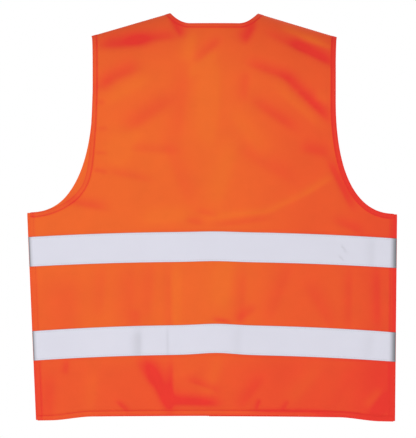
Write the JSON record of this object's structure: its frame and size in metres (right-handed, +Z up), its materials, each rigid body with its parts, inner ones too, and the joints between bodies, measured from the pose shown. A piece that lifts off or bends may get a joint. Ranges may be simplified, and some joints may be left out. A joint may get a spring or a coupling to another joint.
{
  "type": "high visibility vest",
  "caption": "Sleeveless orange safety vest with two reflective bands round the body, a V neck and hook and loop fronts that fold open.",
  "frame": {"origin": "midway between the neck ends of the two shoulder seams, on the ridge where the vest rests on the shoulders", "axes": "+Z up, +X to the wearer's right, +Y to the front of the wearer; the back faces -Y"},
  "size_m": [0.6212, 0.1244, 0.692],
  "materials": {
    "orange_fabric": "fluorescent knitted polyester, soft sheen",
    "orange_binding": "woven polyester edge binding, satin",
    "silver_tape": "retroreflective glass bead tape, cool grey",
    "hook_patch": "nylon hook tape, matt",
    "loop_patch": "brushed nylon loop tape, fuzzy",
    "label_satin": "white satin ribbon"
  },
  "bodies": {
    "vest": {"back_panel": "orange_fabric", "neck_binding": "orange_binding", "back_hem_binding": "orange_binding", "back_upper_tape": "silver_tape", "back_lower_tape": "silver_tape", "left_front_side": "orange_fabric", "left_armhole_binding": "orange_binding", "left_hem_binding_side": "orange_binding", "left_upper_tape_side": "silver_tape", "left_lower_tape_side": "silver_tape", "right_front_side": "orange_fabric", "right_armhole_binding": "orange_binding", "right_hem_binding_side": "orange_binding", "right_upper_tape_side": "silver_tape", "right_lower_tape_side": "silver_tape"},
    "left_front": {"left_front_centre": "orange_fabric", "left_front_edge_binding": "orange_binding", "left_hem_binding_centre": "orange_binding", "left_upper_tape_centre": "silver_tape", "left_lower_tape_centre": "silver_tape", "hook_patch_top": "hook_patch", "hook_patch_middle": "hook_patch", "hook_patch_bottom": "hook_patch"},
    "right_front": {"right_front_centre": "orange_fabric", "right_front_edge_binding": "orange_binding", "right_hem_binding_centre": "orange_binding", "right_upper_tape_centre": "silver_tape", "right_lower_tape_centre": "silver_tape", "loop_patch_top": "loop_patch", "loop_patch_middle": "loop_patch", "loop_patch_bottom": "loop_patch"},
    "label": {"care_label": "label_satin"}
  },
  "joints": [
    {"name": "left_front_fold", "type": "hinge", "parent": "vest", "child": "left_front", "pos_m": [-0.04672, 0.0609, -0.11], "axis": [0.3018, 0.0537, 0.9519], "range_deg": [0, 150]},
    {"name": "right_front_fold", "type": "hinge", "parent": "vest", "child": "right_front", "pos_m": [0.04672, 0.0609, -0.11], "axis": [0.3018, -0.0537, -0.9519], "range_deg": [0, 90]},
    {"name": "care_label_flip", "type": "hinge", "parent": "vest", "child": "label", "pos_m": [0, -0.04418, -0.0285], "axis": [1, 0, 0], "range_deg": [-8, 115]}
  ],
  "couplings": [
    {"joint": "right_front_fold", "follows": "left_front_fold", "ratio": 0.6}
  ]
}
